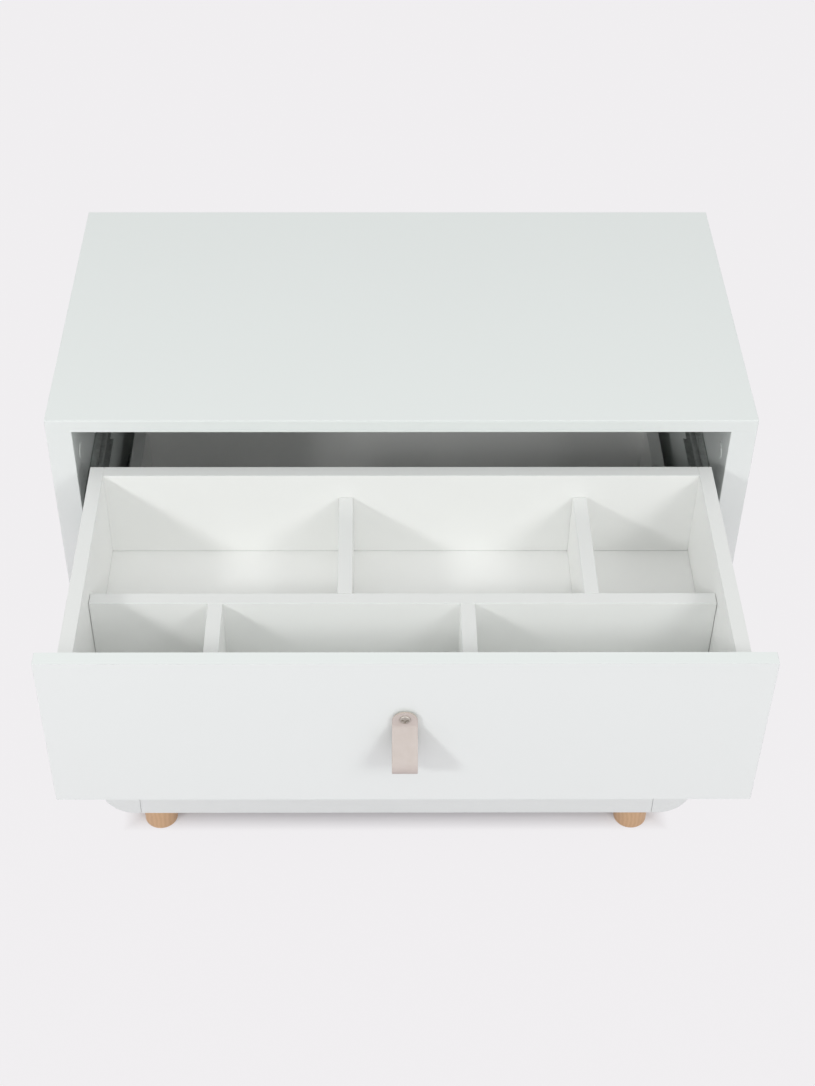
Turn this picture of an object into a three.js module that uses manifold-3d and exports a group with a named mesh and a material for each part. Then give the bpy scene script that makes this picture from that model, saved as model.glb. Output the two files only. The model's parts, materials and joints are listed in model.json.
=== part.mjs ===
// A white lacquered chest of three drawers on round wooden feet, with a divider set in the top drawer.
// The top drawer stands pulled out to its stop, and the other two are closed.
// Millimetres. +X is right as one faces the chest, +Y is towards its back and +Z is up.
// The floor is at z = 0, and the origin is under the middle of the whole chest as it stands.

import * as THREE from "three";
import { mergeVertices } from "three/addons/utils/BufferGeometryUtils.js";
import Module from "manifold-3d";

// Carcass
const carcassWidth = 600;
const carcassDepth = 325;
const carcassHeight = 516;
const topThickness = 12;
const sideThickness = 22;
const bottomThickness = 28;
const cornerRadius = 32;
const cornerBlockSize = 37;
const cornerSeam = 0.4;
const backThickness = 4;
const backRabbet = 6;
const glueLine = 0.05;
const cutOverrun = 5;

// Feet, each with the steel stud that screws it to the bottom panel
const footDiameter = 34;
const footHeight = 44;
const footEdgeRadius = 1.5;
const footSideInset = 52;
const footEndInset = 32;
const studDiameter = 8;
const studLength = 16;
const studClearance = 0.3;

// Cover caps over the cam fittings that pull the top down on the sides
const capDiameter = 15;
const capThickness = 0.8;
const capPlugDiameter = 11.4;
const capPlugLength = 4;
const camBoreDiameter = 12;
const camBoreDepth = 12.5;
const camFrontInset = 27;
const camBelowTopPanel = 42;

// Drawers
const drawerNames = ["bottom", "middle", "top"];
const frontGap = 3;
const frontThickness = 12;
const boxWallThickness = 12;
const boxDepth = 250;
const boxHeight = 104;
const boxBelowFrontTop = 31;
const floorThickness = 6;
const floorAboveBoxBottom = 11.5;
const floorGrooveDepth = 5;
const floorSlack = 0.4;
const openTravel = 267;

// Ball-bearing runners, three steel channels inside each other on either side of a drawer, as long as its box
const runnerSpace = 13;
const runnerHeight = 35;
const runnerSteel = 1.2;
const runnerBallGap = 2.6;
const runnerSideGap = 0.6;
const runnerFrontGap = 0.3;
const runnerAboveBoxBottom = 21;
const cabinetRunnerDepth = 7;

// Divider set of the top drawer. The cross dividers' places are counted from the middle of the drawer.
const dividerThickness = 12;
const dividerHeight = 62;
const dividerFloorGap = 0.3;
const dividerEndGap = 0.5;
const longDividerFromFront = 114;
const frontCrossLeft = 151;
const frontCrossRight = 52;
const rearCrossLeft = 47;
const rearCrossRight = 153;

// Pulls, each a leather strap folded in half under one screw. Below the screw its two layers part into a round
// loop that stands out from the drawer front.
const strapWidth = 19.5;
const strapThickness = 1.5;
const strapLayerGap = 0.2;
const strapRearEndDrop = 2;
const strapBelowFrontTop = 49.8;
const strapFlatLength = 15;
const strapLoopRadius = 9.4;
const strapLoopReach = 25.4;
const strapLoopLength = 50;
const screwBelowStrapTop = 7;
const screwHeadDiameter = 8.4;
const screwHeadHeight = 1.4;
const screwDiameter = 5;
const screwCrossSpan = 5;
const screwCrossWidth = 1.1;
const screwCrossDepth = 1.2;
const screwHoleClearance = 0.3;
const screwEndBeyondNut = 1;
const nutAcrossFlats = 8;
const nutThickness = 4;

// How many flat sides round things have
const footSides = 32;
const smallRoundSides = 24;
const arcSteps = 8;
const nutSides = 6;

const lacquer = new THREE.MeshStandardMaterial({ color: 0xe3e8e6, roughness: 0.45, metalness: 0 });
const boxFoil = new THREE.MeshStandardMaterial({ color: 0xe8e9e7, roughness: 0.6, metalness: 0 });
const hardboard = new THREE.MeshStandardMaterial({ color: 0xe2e3e0, roughness: 0.7, metalness: 0 });
const beech = new THREE.MeshStandardMaterial({ color: 0xcaa67e, roughness: 0.55, metalness: 0 });
const zincSteel = new THREE.MeshStandardMaterial({ color: 0x8f9596, roughness: 0.35, metalness: 0.9 });
const leather = new THREE.MeshStandardMaterial({ color: 0xd6c8ba, roughness: 0.6, metalness: 0 });
const nickel = new THREE.MeshStandardMaterial({ color: 0xb9b5ad, roughness: 0.25, metalness: 1 });
const whitePlastic = new THREE.MeshStandardMaterial({ color: 0xeeeeec, roughness: 0.4, metalness: 0 });

const wasm = await Module();
wasm.setup();

// A closed geometry as a solid that can be cut and joined
function solidOf(geometry) {
  const bare = geometry.clone();
  bare.deleteAttribute("normal");
  bare.deleteAttribute("uv");
  const merged = mergeVertices(bare);
  return new wasm.Manifold(
    new wasm.Mesh({
      numProp: 3,
      vertProperties: merged.attributes.position.array,
      triVerts: new Uint32Array(merged.index.array),
    }),
  );
}

// A solid back as a flat-shaded geometry
function geometryOf(solid) {
  const { vertProperties, triVerts } = solid.getMesh();
  const indexed = new THREE.BufferGeometry();
  indexed.setAttribute("position", new THREE.BufferAttribute(vertProperties, 3));
  indexed.setIndex(new THREE.BufferAttribute(triVerts, 1));
  const flat = indexed.toNonIndexed();
  flat.computeVertexNormals();
  return flat;
}

// A geometry with others cut out of it
function cut(geometry, ...tools) {
  return geometryOf(tools.reduce((solid, tool) => solid.subtract(solidOf(tool)), solidOf(geometry)));
}

// A rectangular block between two values on each axis, given in either order
function block([xa, xb], [ya, yb], [za, zb]) {
  const geometry = new THREE.BoxGeometry(Math.abs(xb - xa), Math.abs(yb - ya), Math.abs(zb - za));
  return geometry.translate((xa + xb) / 2, (ya + yb) / 2, (za + zb) / 2);
}

// An outline of x and z values drawn out from one y value to another
function alongDepth(shape, yStart, yEnd) {
  const options = { depth: yEnd - yStart, bevelEnabled: false, curveSegments: arcSteps };
  return new THREE.ExtrudeGeometry(shape, options).rotateX(Math.PI / 2).translate(0, yEnd, 0);
}

// An outline of y and z values drawn out from one x value to another
function acrossWidth(shape, xStart, xEnd) {
  const options = { depth: xEnd - xStart, bevelEnabled: false, curveSegments: arcSteps };
  const basis = new THREE.Matrix4().makeBasis(
    new THREE.Vector3(0, 1, 0),
    new THREE.Vector3(0, 0, 1),
    new THREE.Vector3(1, 0, 0),
  );
  return new THREE.ExtrudeGeometry(shape, options).applyMatrix4(basis).translate(xStart, 0, 0);
}

// A round piece from pairs of radius and place along its axis, which runs along +Z
function turned(profile, sides) {
  const points = profile.map(([radius, along]) => new THREE.Vector2(radius, along));
  return new THREE.LatheGeometry(points, sides).rotateX(Math.PI / 2);
}

// A plain round rod or cutter along +Z
function rod(radius, start, end, sides) {
  return turned([[0, start], [radius, start], [radius, end], [0, end]], sides);
}

function place(group, name, geometry, material, x = 0, y = 0, z = 0) {
  const mesh = new THREE.Mesh(geometry, material);
  mesh.name = name;
  mesh.position.set(x, y, z);
  group.add(mesh);
}

const sides = [
  { word: "left", sign: -1 },
  { word: "right", sign: 1 },
];

// Levels and half widths that several pieces share
const halfWidth = carcassWidth / 2;
const carcassBottom = footHeight;
const carcassTop = carcassBottom + carcassHeight;
const openingHalf = halfWidth - sideThickness;
const openingBottom = carcassBottom + bottomThickness;
const openingTop = carcassTop - topThickness;
const openingHeight = openingTop - openingBottom;
const drawerCount = drawerNames.length;
const frontHeight = (openingHeight - frontGap * (drawerCount + 1)) / drawerCount;
const frontHalf = openingHalf - frontGap;
const boxHalf = openingHalf - runnerSpace;
const boxInsideHalf = boxHalf - boxWallThickness;
const boxBottom = frontHeight - boxBelowFrontTop - boxHeight;
const boxTop = boxBottom + boxHeight;
const boxFront = frontThickness + glueLine;
const boxBack = frontThickness + boxDepth;
const floorUnderside = boxBottom + floorAboveBoxBottom;
const floorTop = floorUnderside + floorThickness;

// The recess at the rear of the carcass that the back panel lies in
const backSeat = block(
  [-openingHalf - backRabbet, openingHalf + backRabbet],
  [carcassDepth - backThickness, carcassDepth + cutOverrun],
  [openingBottom - backRabbet, openingTop + backRabbet],
);

function makeTopPanel(carcass) {
  const board = block([-halfWidth, halfWidth], [0, carcassDepth], [openingTop, carcassTop]);
  place(carcass, "top_panel", cut(board, backSeat), lacquer);
}

// A side panel, bored on its inner face for the cam fitting
function makeSidePanel(carcass, { word, sign }) {
  const board = block(
    [sign * openingHalf, sign * halfWidth],
    [0, carcassDepth],
    [carcassBottom + cornerBlockSize + glueLine, openingTop - glueLine],
  );
  const camBore = rod(camBoreDiameter / 2, -cutOverrun, camBoreDepth, smallRoundSides)
    .rotateY((sign * Math.PI) / 2)
    .translate(sign * openingHalf, camFrontInset, openingTop - camBelowTopPanel);
  place(carcass, `side_panel_${word}`, cut(board, backSeat, camBore), lacquer);
}

// A cover cap, pushed by its plug into the cam bore
function makeCamCap(carcass, { word, sign }) {
  const cap = turned(
    [
      [0, -capThickness],
      [capDiameter / 2, -capThickness],
      [capDiameter / 2, -glueLine],
      [capPlugDiameter / 2, -glueLine],
      [capPlugDiameter / 2, capPlugLength],
      [0, capPlugLength],
    ],
    smallRoundSides,
  ).rotateY((sign * Math.PI) / 2);
  const height = openingTop - camBelowTopPanel;
  place(carcass, `cam_cap_${word}`, cap, whitePlastic, sign * openingHalf, camFrontInset, height);
}

// A lower corner of the carcass, rounded outside and square inside
function makeCornerBlock(carcass, { word, sign }) {
  const outline = new THREE.Shape();
  const turn = sign > 0 ? 0 : Math.PI;
  outline.moveTo(sign * halfWidth, carcassBottom + cornerBlockSize);
  outline.lineTo(sign * halfWidth, carcassBottom + cornerRadius);
  outline.absarc(
    sign * (halfWidth - cornerRadius),
    carcassBottom + cornerRadius,
    cornerRadius,
    turn,
    -Math.PI / 2,
    sign > 0,
  );
  outline.lineTo(sign * (halfWidth - cornerBlockSize), carcassBottom);
  outline.lineTo(sign * (halfWidth - cornerBlockSize), openingBottom);
  outline.lineTo(sign * openingHalf, openingBottom);
  outline.lineTo(sign * openingHalf, carcassBottom + cornerBlockSize);
  outline.closePath();
  place(carcass, `corner_block_${word}`, cut(alongDepth(outline, 0, carcassDepth), backSeat), lacquer);
}

// Where the four feet stand: word, x and y
const footPlaces = sides.flatMap(({ word, sign }) => [
  [`front_${word}`, sign * (halfWidth - footSideInset), footEndInset],
  [`rear_${word}`, sign * (halfWidth - footSideInset), carcassDepth - footEndInset],
]);

// The bottom panel, bored from below for the studs of the feet
function makeBottomPanel(carcass) {
  const reach = halfWidth - cornerBlockSize - cornerSeam;
  const board = block([-reach, reach], [0, carcassDepth], [carcassBottom, openingBottom]);
  const bores = footPlaces.map(([, x, y]) =>
    rod(
      studDiameter / 2 + studClearance,
      carcassBottom - cutOverrun,
      carcassBottom + studLength + studClearance,
      smallRoundSides,
    ).translate(x, y, 0),
  );
  place(carcass, "bottom_panel", cut(board, backSeat, ...bores), lacquer);
}

function makeBackPanel(carcass) {
  const reach = openingHalf + backRabbet - glueLine;
  const board = block(
    [-reach, reach],
    [carcassDepth - backThickness + glueLine, carcassDepth],
    [openingBottom - backRabbet + glueLine, openingTop + backRabbet - glueLine],
  );
  place(carcass, "back_panel", board, hardboard);
}

// A turned foot with a softened lower edge, and its stud
function makeFeet(carcass) {
  const radius = footDiameter / 2;
  const edge = Array.from({ length: arcSteps + 1 }, (_, i) => {
    const angle = (i / arcSteps) * (Math.PI / 2);
    const out = radius - footEdgeRadius + footEdgeRadius * Math.sin(angle);
    return [out, footEdgeRadius - footEdgeRadius * Math.cos(angle)];
  });
  const foot = turned(
    [
      [0, 0],
      ...edge,
      [radius, footHeight - glueLine],
      [studDiameter / 2, footHeight - glueLine],
      [studDiameter / 2, footHeight + studLength],
      [0, footHeight + studLength],
    ],
    footSides,
  );
  for (const [word, x, y] of footPlaces) place(carcass, `foot_${word}`, foot.clone(), beech, x, y, 0);
}

// A steel channel of a runner. Widths are counted from the side panel towards the drawer:
// the outside of the web, its inside, and the tips of the two flanges.
function runnerChannel(sign, webOutside, webInside, tips, height) {
  const outline = new THREE.Shape();
  const half = height / 2;
  const x = (fromPanel) => sign * (openingHalf - fromPanel);
  outline.moveTo(x(webOutside), -half);
  outline.lineTo(x(tips), -half);
  outline.lineTo(x(tips), -half + runnerSteel);
  outline.lineTo(x(webInside), -half + runnerSteel);
  outline.lineTo(x(webInside), half - runnerSteel);
  outline.lineTo(x(tips), half - runnerSteel);
  outline.lineTo(x(tips), half);
  outline.lineTo(x(webOutside), half);
  outline.closePath();
  return alongDepth(outline, runnerStart, runnerStart + boxDepth);
}

// Sizes of the three channels, each nested in the one before it
const middleRunnerWeb = glueLine + runnerSteel + runnerSideGap;
const drawerRunnerWeb = runnerSpace - glueLine;
const middleRunnerTips = drawerRunnerWeb - runnerSteel - runnerSideGap;
const drawerRunnerTips = middleRunnerWeb + runnerSteel + runnerSideGap;
const nestingStep = 2 * (runnerSteel + runnerBallGap);
const middleRunnerHeight = runnerHeight - nestingStep;
const drawerRunnerHeight = middleRunnerHeight - nestingStep;
const runnerStart = frontThickness + runnerFrontGap;
const runnerCentre = boxBottom + runnerAboveBoxBottom + runnerHeight / 2;

function cabinetRunner(sign) {
  return runnerChannel(sign, glueLine, glueLine + runnerSteel, cabinetRunnerDepth, runnerHeight);
}

function middleRunner(sign) {
  const inside = middleRunnerWeb + runnerSteel;
  return runnerChannel(sign, middleRunnerWeb, inside, middleRunnerTips, middleRunnerHeight);
}

function drawerRunner(sign) {
  const inside = drawerRunnerWeb - runnerSteel;
  return runnerChannel(sign, drawerRunnerWeb, inside, drawerRunnerTips, drawerRunnerHeight);
}

// The height of the screw of a pull over the lower edge of its drawer front
const screwHeight = frontHeight - strapBelowFrontTop - screwBelowStrapTop;
const strapTop = frontHeight - strapBelowFrontTop;
const frontLayerFace = glueLine + 2 * strapThickness + strapLayerGap;

// A band of even thickness along a line of points
function bandAlong(points, thickness) {
  const ways = points.slice(1).map((point, i) => point.clone().sub(points[i]).normalize());
  const faces = points.map((point, i) => {
    const before = ways[Math.max(i - 1, 0)];
    const after = ways[Math.min(i, ways.length - 1)];
    const across = new THREE.Vector2(-before.y - after.y, before.x + after.x);
    const reach = thickness / 2 / (1 + before.dot(after));
    return [point.clone().addScaledVector(across, reach), point.clone().addScaledVector(across, -reach)];
  });
  return new THREE.Shape([...faces.map(([one]) => one), ...faces.map(([, other]) => other).reverse()]);
}

// The strap seen from the side, with the drawer front at y = 0. Its middle line goes down the rear layer, round
// the loop and up the front layer, and the straight parts touch the loop's circle.
function strapProfile() {
  const half = strapThickness / 2;
  const radius = strapLoopRadius - half;
  const loopMiddle = strapTop - strapLoopLength + strapLoopRadius;
  const loop = new THREE.Vector2(-strapLoopReach + strapLoopRadius, loopMiddle);
  const flatEnd = strapTop - strapFlatLength;
  const rear = new THREE.Vector2(-glueLine - half, flatEnd);
  const front = new THREE.Vector2(-frontLayerFace + half, flatEnd);
  const touch = (point, side) => {
    const away = loop.clone().sub(point);
    return away.angle() + side * (Math.asin(radius / away.length()) + Math.PI / 2);
  };
  const middle = new THREE.Path();
  middle.moveTo(rear.x, strapTop);
  middle.lineTo(rear.x, flatEnd);
  middle.absarc(loop.x, loop.y, radius, touch(rear, 1), touch(front, -1), true);
  middle.lineTo(front.x, flatEnd);
  middle.lineTo(front.x, strapTop);
  return bandAlong(middle.getPoints(arcSteps), strapThickness);
}

// A layer of the strap from the front: straight sides and a round upper end
function strapOutline(end) {
  const radius = strapWidth / 2;
  const outline = new THREE.Shape();
  outline.moveTo(-radius, strapTop - strapLoopLength - cutOverrun);
  outline.lineTo(radius, strapTop - strapLoopLength - cutOverrun);
  outline.lineTo(radius, end - radius);
  outline.absarc(0, end - radius, radius, 0, Math.PI, false);
  outline.closePath();
  return outline;
}

// A cutter or rod across the drawer front at the height of the screw
function frontRod(radius, yStart, yEnd) {
  return rod(radius, -yEnd, -yStart, smallRoundSides).rotateX(Math.PI / 2).translate(0, 0, screwHeight);
}

// A strap, its screw through the drawer front and the nut behind. The screw and the nut are turned
// about +Z and then laid down, so that +Z of their profiles faces forward.
function makePull(drawer, name) {
  const band = solidOf(acrossWidth(strapProfile(), -strapWidth / 2, strapWidth / 2));
  const layersMeet = -glueLine - strapThickness - strapLayerGap / 2;
  const frontEnd = solidOf(alongDepth(strapOutline(strapTop), -strapLoopReach - cutOverrun, layersMeet));
  const rearEnd = solidOf(alongDepth(strapOutline(strapTop - strapRearEndDrop), layersMeet, cutOverrun));
  const holeRadius = screwDiameter / 2 + screwHoleClearance;
  const hole = solidOf(frontRod(holeRadius, -frontLayerFace - cutOverrun, cutOverrun));
  const strap = band.intersect(frontEnd.add(rearEnd)).subtract(hole);
  place(drawer, `${name}_drawer_pull_strap`, geometryOf(strap), leather);

  const headSeat = frontLayerFace + glueLine;
  const headRadius = screwHeadDiameter / 2;
  const dome = Array.from({ length: arcSteps + 1 }, (_, i) => {
    const angle = (i / arcSteps) * (Math.PI / 2);
    return [headRadius * Math.cos(angle), headSeat + screwHeadHeight * Math.sin(angle)];
  });
  const nutSeat = frontThickness + glueLine;
  const screwEnd = nutSeat + nutThickness + screwEndBeyondNut;
  const screw = turned(
    [[0, -screwEnd], [screwDiameter / 2, -screwEnd], [screwDiameter / 2, headSeat], ...dome],
    smallRoundSides,
  ).rotateX(Math.PI / 2);
  const headTop = -headSeat - screwHeadHeight;
  const recess = [
    [screwCrossSpan, screwCrossWidth],
    [screwCrossWidth, screwCrossSpan],
  ].map(([width, height]) =>
    block(
      [-width / 2, width / 2],
      [headTop - cutOverrun, headTop + screwCrossDepth],
      [-height / 2, height / 2],
    ),
  );
  place(drawer, `${name}_drawer_pull_screw`, cut(screw, ...recess), nickel, 0, 0, screwHeight);

  const nutRadius = nutAcrossFlats / 2 / Math.cos(Math.PI / nutSides);
  const nut = rod(nutRadius, -nutSeat - nutThickness, -nutSeat, nutSides).rotateX(Math.PI / 2);
  const nutBore = rod(holeRadius, -nutSeat - nutThickness - cutOverrun, cutOverrun, smallRoundSides);
  place(
    drawer,
    `${name}_drawer_pull_nut`,
    cut(nut, nutBore.rotateX(Math.PI / 2)),
    zincSteel,
    0,
    0,
    screwHeight,
  );
}

// The groove round the inside of a drawer that the floor slides into
const floorGroove = block(
  [-boxInsideHalf - floorGrooveDepth, boxInsideHalf + floorGrooveDepth],
  [frontThickness - floorGrooveDepth, boxBack - boxWallThickness + floorGrooveDepth],
  [floorUnderside - floorSlack, floorTop + floorSlack],
);

// One drawer with y = 0 on the face of its front and z = 0 at the front's lower edge
function makeDrawer(name) {
  const drawer = new THREE.Group();
  const frontBoard = block([-frontHalf, frontHalf], [0, frontThickness], [0, frontHeight]);
  const screwHole = frontRod(screwDiameter / 2 + screwHoleClearance, -cutOverrun, frontThickness + cutOverrun);
  place(drawer, `${name}_drawer_front`, cut(frontBoard, screwHole, floorGroove), lacquer);
  for (const { word, sign } of sides) {
    const board = block([sign * boxInsideHalf, sign * boxHalf], [boxFront, boxBack], [boxBottom, boxTop]);
    place(drawer, `${name}_drawer_side_${word}`, cut(board, floorGroove), boxFoil);
    place(drawer, `${name}_drawer_runner_${word}`, drawerRunner(sign), zincSteel, 0, 0, runnerCentre);
  }
  const backReach = boxInsideHalf - glueLine;
  const backBoard = block(
    [-backReach, backReach],
    [boxBack - boxWallThickness, boxBack],
    [boxBottom, boxTop],
  );
  place(drawer, `${name}_drawer_back`, cut(backBoard, floorGroove), boxFoil);
  const floorReach = boxInsideHalf + floorGrooveDepth - floorSlack;
  const floorBoard = block(
    [-floorReach, floorReach],
    [
      frontThickness - floorGrooveDepth + floorSlack,
      boxBack - boxWallThickness + floorGrooveDepth - floorSlack,
    ],
    [floorUnderside, floorTop],
  );
  place(drawer, `${name}_drawer_floor`, floorBoard, boxFoil);
  makePull(drawer, name);
  return drawer;
}

// A long divider from side to side and four cross dividers, glued to it and loose on the drawer floor
function makeDividers(drawer) {
  const middle = frontThickness + longDividerFromFront;
  const half = dividerThickness / 2;
  const levels = [floorTop + dividerFloorGap, floorTop + dividerFloorGap + dividerHeight];
  const reach = boxInsideHalf - dividerEndGap;
  const longBoard = block([-reach, reach], [middle - half, middle + half], levels);
  place(drawer, "divider_long", longBoard, boxFoil);
  const frontSpan = [frontThickness + dividerEndGap, middle - half - glueLine];
  const rearSpan = [middle + half + glueLine, boxBack - boxWallThickness - dividerEndGap];
  const crossDividers = [
    ["divider_front_left", -frontCrossLeft, frontSpan],
    ["divider_front_right", frontCrossRight, frontSpan],
    ["divider_rear_left", -rearCrossLeft, rearSpan],
    ["divider_rear_right", rearCrossRight, rearSpan],
  ];
  for (const [name, x, span] of crossDividers) {
    place(drawer, name, block([-half, half], span, levels), boxFoil, x);
  }
}

const chest = new THREE.Group();
const carcass = new THREE.Group();
chest.add(carcass);
makeTopPanel(carcass);
makeBottomPanel(carcass);
makeBackPanel(carcass);
makeFeet(carcass);
for (const side of sides) {
  makeSidePanel(carcass, side);
  makeCamCap(carcass, side);
  makeCornerBlock(carcass, side);
}

// Each drawer with its runners. The middle runners go half as far as the drawer.
drawerNames.forEach((name, level) => {
  const frontBottom = openingBottom + frontGap + level * (frontHeight + frontGap);
  const travel = name === "top" ? openTravel : 0;
  const drawer = makeDrawer(name);
  drawer.position.set(0, -travel, frontBottom);
  chest.add(drawer);
  if (name === "top") makeDividers(drawer);
  for (const { word, sign } of sides) {
    const height = frontBottom + runnerCentre;
    place(carcass, `${name}_cabinet_runner_${word}`, cabinetRunner(sign), zincSteel, 0, 0, height);
    place(chest, `${name}_middle_runner_${word}`, middleRunner(sign), zincSteel, 0, -travel / 2, height);
  }
});

// The middle of the whole chest as it stands comes over the origin
const whole = new THREE.Box3().setFromObject(chest);
chest.position.y = -(whole.min.y + whole.max.y) / 2;

export default chest;
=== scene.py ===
import json
from math import acos, hypot, pi, radians

import bmesh
import bpy
from mathutils import Matrix, Vector

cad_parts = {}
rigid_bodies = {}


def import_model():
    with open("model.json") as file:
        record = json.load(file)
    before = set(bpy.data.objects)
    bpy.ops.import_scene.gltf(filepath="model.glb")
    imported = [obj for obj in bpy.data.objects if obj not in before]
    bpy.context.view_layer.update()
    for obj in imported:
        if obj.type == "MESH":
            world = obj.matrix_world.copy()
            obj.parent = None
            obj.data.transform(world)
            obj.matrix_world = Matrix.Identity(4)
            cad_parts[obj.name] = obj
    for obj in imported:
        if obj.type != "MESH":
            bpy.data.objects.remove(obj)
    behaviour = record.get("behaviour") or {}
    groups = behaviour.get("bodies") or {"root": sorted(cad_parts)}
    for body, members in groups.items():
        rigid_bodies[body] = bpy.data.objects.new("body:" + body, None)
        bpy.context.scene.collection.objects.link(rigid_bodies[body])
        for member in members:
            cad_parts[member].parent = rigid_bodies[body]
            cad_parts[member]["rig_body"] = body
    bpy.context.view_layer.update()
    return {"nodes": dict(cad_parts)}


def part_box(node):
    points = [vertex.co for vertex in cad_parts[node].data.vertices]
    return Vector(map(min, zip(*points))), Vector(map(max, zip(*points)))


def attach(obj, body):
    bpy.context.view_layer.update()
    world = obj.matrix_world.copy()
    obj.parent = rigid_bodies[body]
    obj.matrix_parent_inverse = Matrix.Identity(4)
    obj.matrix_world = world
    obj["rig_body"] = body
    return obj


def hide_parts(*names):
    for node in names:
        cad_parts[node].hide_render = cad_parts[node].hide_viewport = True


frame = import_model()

nodes = frame["nodes"]
sides = (("left", -1), ("right", 1))

# Carcass boards
# The top, the sides and the bottom are particle board under a satin white lacquer, their edges rounded over
# before spraying. They are dowelled and glued. A rounded block joins each side to the bottom at a fine seam.


def take(piece):
    """Selects this piece alone."""
    bpy.ops.object.select_all(action="DESELECT")
    piece.select_set(True)
    bpy.context.view_layer.objects.active = piece


def at(value, level):
    """Whether a coordinate is at a level, but for rounding."""
    return abs(value - level) < 0.00008


def copy_board(node, name):
    """A copy of a CAD board with whole faces, to be rounded over."""
    piece = bpy.data.objects.new(name, nodes[node].data.copy())
    bpy.context.scene.collection.objects.link(piece)
    take(piece)
    bpy.ops.mesh.customdata_custom_splitnormals_clear()
    bpy.ops.object.mode_set(mode="EDIT")
    bpy.ops.mesh.select_all(action="SELECT")
    bpy.ops.mesh.remove_doubles(threshold=0.000005)
    bpy.ops.mesh.dissolve_limited(angle_limit=radians(0.5))
    bpy.ops.object.mode_set(mode="OBJECT")
    return piece


def round_over(piece, radius, chosen, steps=3):
    """Rounds those square edges of a piece whose two ends `chosen` accepts."""
    take(piece)
    bpy.ops.object.mode_set(mode="EDIT")
    bpy.ops.mesh.select_mode(type="EDGE")
    bpy.ops.mesh.select_all(action="DESELECT")
    shape = bmesh.from_edit_mesh(piece.data)
    for edge in shape.edges:
        if edge.calc_face_angle(0) > radians(50) and chosen(edge.verts[0].co, edge.verts[1].co):
            edge.select_set(True)
    bmesh.update_edit_mesh(piece.data)
    bpy.ops.mesh.bevel(offset=radius, segments=steps, affect="EDGES")
    bpy.ops.object.mode_set(mode="OBJECT")


def smooth(piece):
    """Shades rounded edges smooth and keeps flat faces flat."""
    take(piece)
    bpy.ops.object.shade_smooth_by_angle(angle=radians(40))
    bpy.ops.object.modifier_add(type="WEIGHTED_NORMAL")
    piece.modifiers[-1].keep_sharp = True
    bpy.ops.object.modifier_apply(modifier=piece.modifiers[-1].name)


def install(piece, node, slot, *materials):
    """Finishes a piece that stands for a CAD node: its materials and its body. The slot is not used."""
    smooth(piece)
    piece.data.materials.clear()
    for material in materials:
        piece.data.materials.append(material)
    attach(piece, nodes[node]["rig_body"])
    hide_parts(node)


def srgb(red, green, blue):
    """A colour as a screen shows it, from 0 to 255, in the shader's numbers."""
    return tuple(((part / 255 + 0.055) / 1.055) ** 2.4 for part in (red, green, blue)) + (1,)


def add(tree, kind, sockets=None, **options):
    """A shader node with its options, and a value or a link for each socket named."""
    made = tree.nodes.new("ShaderNode" + kind)
    for option, value in options.items():
        setattr(made, option, value)
    for socket, value in (sockets or {}).items():
        if isinstance(value, bpy.types.NodeSocket):
            tree.links.new(value, made.inputs[socket])
        else:
            made.inputs[socket].default_value = value
    return made


def new_group(name, inputs, outputs):
    """An empty node group with sockets given as name and kind."""
    group = bpy.data.node_groups.new(name, "ShaderNodeTree")
    for label, kind in inputs:
        group.interface.new_socket(label, in_out="INPUT", socket_type="NodeSocket" + kind)
    for label, kind in outputs:
        group.interface.new_socket(label, in_out="OUTPUT", socket_type="NodeSocket" + kind)
    return group, group.nodes.new("NodeGroupInput").outputs, group.nodes.new("NodeGroupOutput").inputs


def new_material(name):
    """A material with a Principled shader, and the object's own coordinates."""
    material = bpy.data.materials.new(name)
    material.use_nodes = True
    tree = material.node_tree
    tree.nodes.clear()
    shader = add(tree, "BsdfPrincipled")
    add(tree, "OutputMaterial", {"Surface": shader.outputs["BSDF"]})
    return material, tree, shader, add(tree, "TexCoord").outputs["Object"]


# A thin film on board: a faint cloudiness of tone, a roughness that varies a little, and a fine relief
film, given, put = new_group(
    "coated_film",
    (
        ("Place", "Vector"),
        ("Colour", "Color"),
        ("Cloud", "Float"),
        ("Roughness", "Float"),
        ("Grain", "Float"),
    ),
    (("Colour", "Color"), ("Roughness", "Float"), ("Height", "Float")),
)
cloud = add(film, "TexNoise", {"Vector": given["Place"], "Scale": 5, "Detail": 3})
swing = add(film, "Math", {0: cloud.outputs["Fac"], 1: 0.5}, operation="SUBTRACT")
tone = add(film, "Math", {0: swing.outputs[0], 1: given["Cloud"], 2: 1.0}, operation="MULTIPLY_ADD")
tinted = add(film, "VectorMath", {0: given["Colour"], "Scale": tone.outputs[0]}, operation="SCALE")
film.links.new(tinted.outputs[0], put["Colour"])
patches = add(film, "TexNoise", {"Vector": given["Place"], "Scale": 60, "Detail": 2})
rough = add(film, "MapRange", {"Value": patches.outputs["Fac"], "To Min": -0.06, "To Max": 0.06})
rougher = add(film, "Math", {0: rough.outputs[0], 1: given["Roughness"]}, operation="ADD")
film.links.new(rougher.outputs[0], put["Roughness"])
peel = add(film, "TexNoise", {"Vector": given["Place"], "Scale": given["Grain"], "Detail": 2})
film.links.new(peel.outputs["Fac"], put["Height"])


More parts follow.
